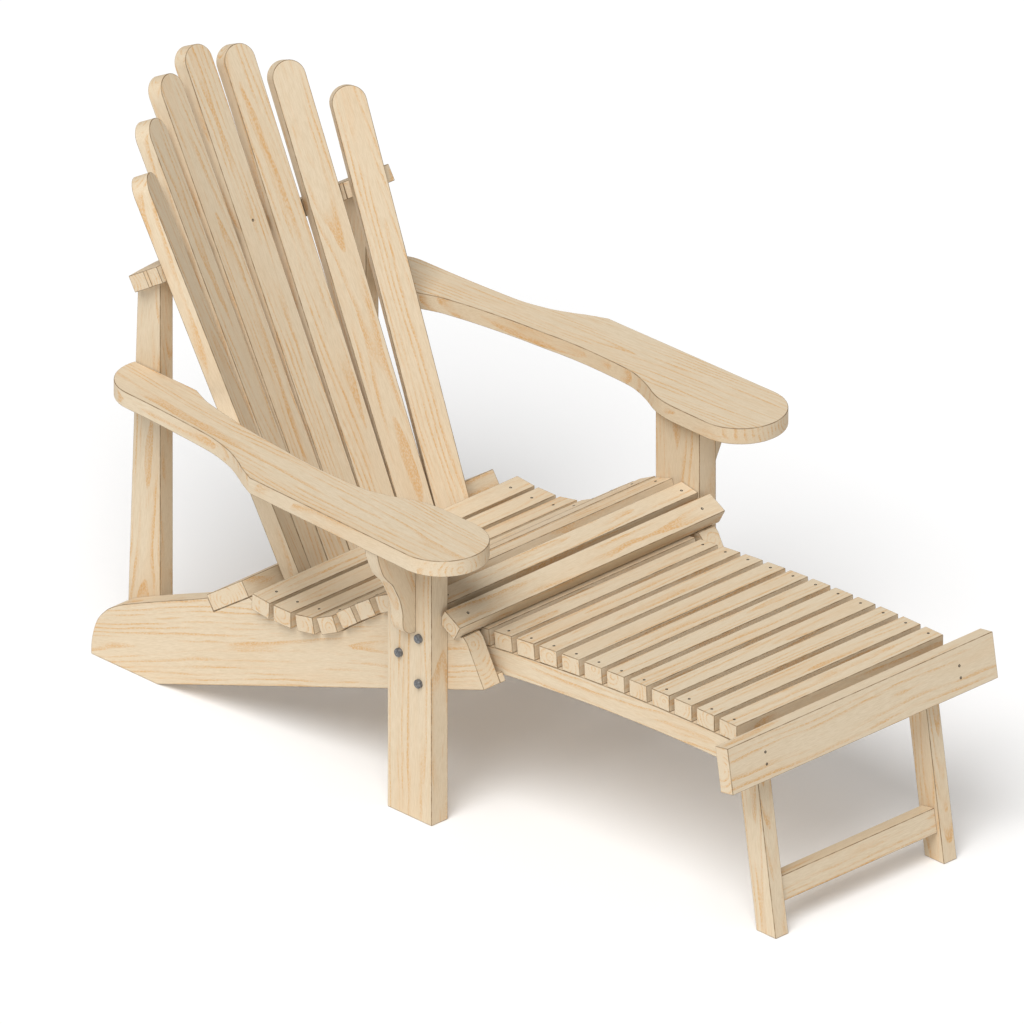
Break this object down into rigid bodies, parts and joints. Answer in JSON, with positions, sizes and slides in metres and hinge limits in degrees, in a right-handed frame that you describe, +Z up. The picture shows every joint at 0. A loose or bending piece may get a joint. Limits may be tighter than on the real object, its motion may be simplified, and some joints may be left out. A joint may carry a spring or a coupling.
{
  "type": "adirondack chair",
  "caption": "Slatted wooden garden armchair with a fanned reclining back, wide level arms and a pull-out slatted footrest on legs.",
  "frame": {"origin": "bottom centre of the bounding box with the footrest pulled out, on the ground", "axes": "+Z up, the sitter faces -Y, +X to the sitter's left; the chair is symmetric about X = 0"},
  "size_m": [0.803, 1.5274, 0.9511],
  "materials": {
    "pine": "planed, unpainted, matt",
    "bolt_steel": "dark blackened steel, satin"
  },
  "bodies": {
    "chair": {"side_board_left": "pine", "front_leg_left": "pine", "arm_bracket_left": "pine", "arm_left": "pine", "rear_post_left": "pine", "footrest_guide_left": "pine", "bolt_left_1": "bolt_steel", "bolt_left_2": "bolt_steel", "bolt_left_3": "bolt_steel", "side_board_right": "pine", "front_leg_right": "pine", "arm_bracket_right": "pine", "arm_right": "pine", "rear_post_right": "pine", "footrest_guide_right": "pine", "bolt_right_1": "bolt_steel", "bolt_right_2": "bolt_steel", "bolt_right_3": "bolt_steel", "seat_slat_1": "pine", "seat_slat_2": "pine", "seat_slat_3": "pine", "seat_slat_4": "pine", "seat_slat_5": "pine", "seat_slat_6": "pine", "seat_slat_7": "pine", "seat_slat_8": "pine", "seat_slat_9": "pine", "seat_slat_10": "pine", "back_slat_1": "pine", "back_slat_2": "pine", "back_slat_3": "pine", "back_slat_4": "pine", "back_slat_5": "pine", "back_slat_6": "pine", "back_slat_7": "pine", "lower_back_rail": "pine", "upper_back_rail": "pine"},
    "footrest": {"footrest_slat_1": "pine", "footrest_slat_2": "pine", "footrest_slat_3": "pine", "footrest_slat_4": "pine", "footrest_slat_5": "pine", "footrest_slat_6": "pine", "footrest_slat_7": "pine", "footrest_slat_8": "pine", "footrest_slat_9": "pine", "footrest_slat_10": "pine", "footrest_slat_11": "pine", "footrest_slat_12": "pine", "footrest_runner_left": "pine", "footrest_leg_left": "pine", "footrest_runner_right": "pine", "footrest_leg_right": "pine", "footrest_apron": "pine", "footrest_cross_rail": "pine"}
  },
  "joints": [
    {"name": "footrest_slide", "type": "hinge", "parent": "chair", "child": "footrest", "pos_m": [0, -0.503, -1.08], "axis": [-1, 0, 0], "range_deg": [0, 22.6]}
  ]
}
